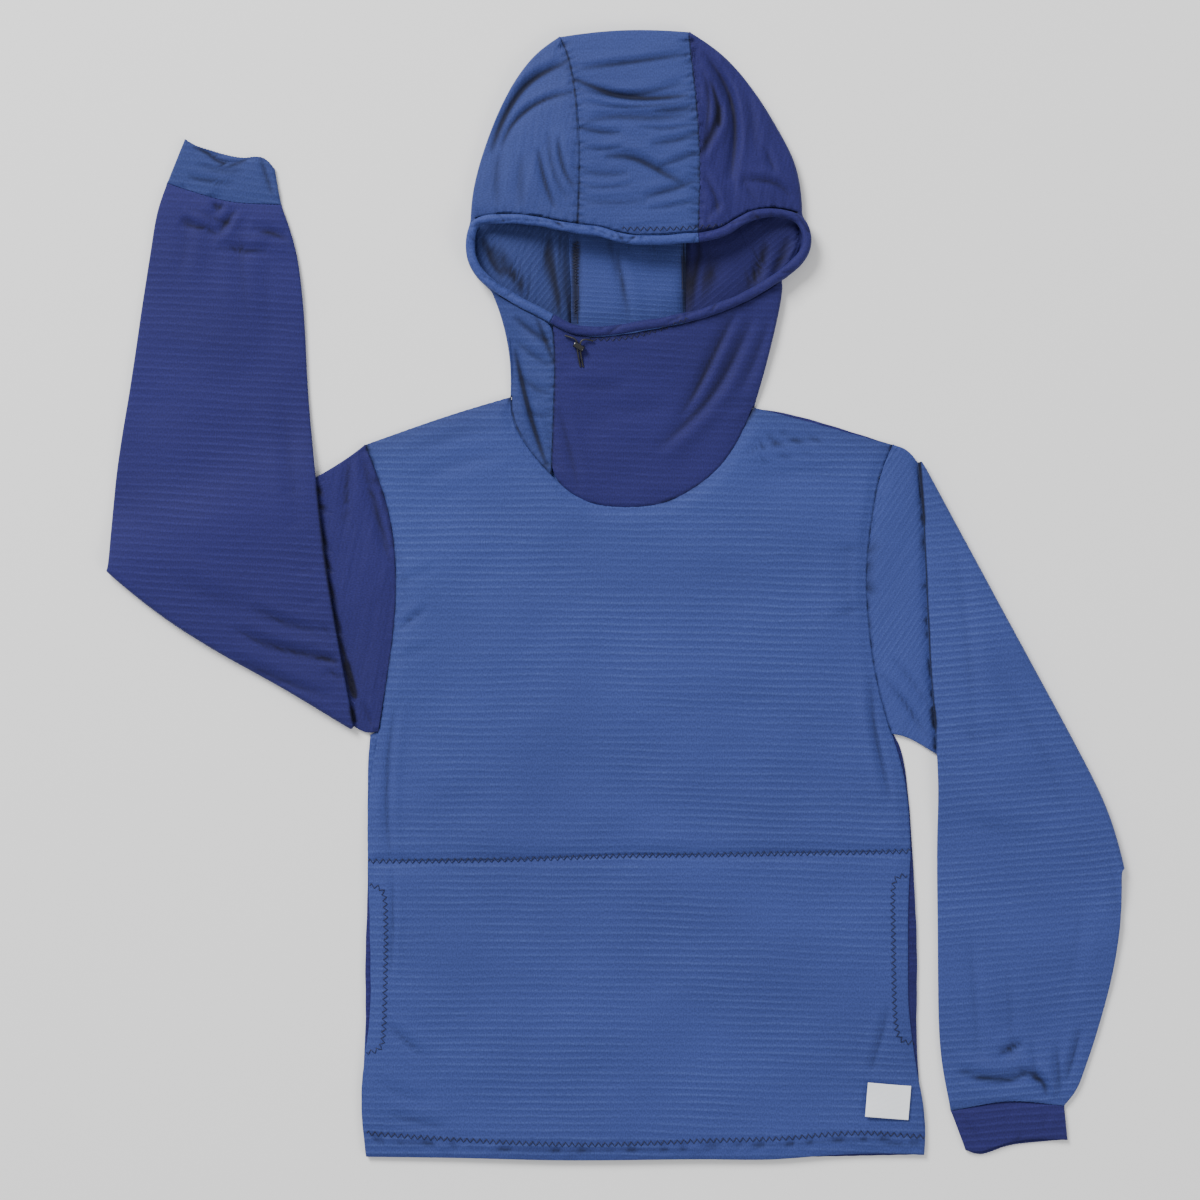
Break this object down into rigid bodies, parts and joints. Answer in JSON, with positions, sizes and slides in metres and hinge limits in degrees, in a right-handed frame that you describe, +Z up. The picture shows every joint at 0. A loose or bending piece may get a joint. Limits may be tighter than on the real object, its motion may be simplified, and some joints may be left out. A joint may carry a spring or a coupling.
{
  "type": "hoodie",
  "caption": "Two-tone blue ribbed knit hoodie laid flat, with a high neck, a drawcord with a lock, a front pocket over the full width and one sleeve folded up, the other down.",
  "frame": {"origin": "middle of the garment's outline on the surface that it lies on", "axes": "+Z up out of the surface, +Y from the hem to the crown of the hood, +X to the right as seen from above"},
  "size_m": [0.9153, 1.016, 0.0294],
  "materials": {
    "knit_light_blue": "fine ribbed knit, matt, light blue",
    "knit_indigo": "fine ribbed knit, matt, indigo",
    "woven_white": "woven label, blank, off-white",
    "cord_black": "braided cord, black",
    "plastic_black": "moulded plastic, black"
  },
  "bodies": {
    "root": {"front_body": "knit_light_blue", "pocket_front": "knit_light_blue", "pocket_back": "knit_indigo", "back_left": "knit_light_blue", "back_right": "knit_indigo", "sleeve_left": "knit_indigo", "sleeve_right": "knit_light_blue", "cuff_left": "knit_light_blue", "cuff_right": "knit_indigo", "hood_left": "knit_light_blue", "hood_centre": "knit_light_blue", "hood_right": "knit_indigo", "casing_left": "knit_light_blue", "casing_right": "knit_indigo", "label": "woven_white", "drawcord_left": "cord_black", "drawcord_right": "cord_black", "cord_lock": "plastic_black"}
  },
  "joints": []
}
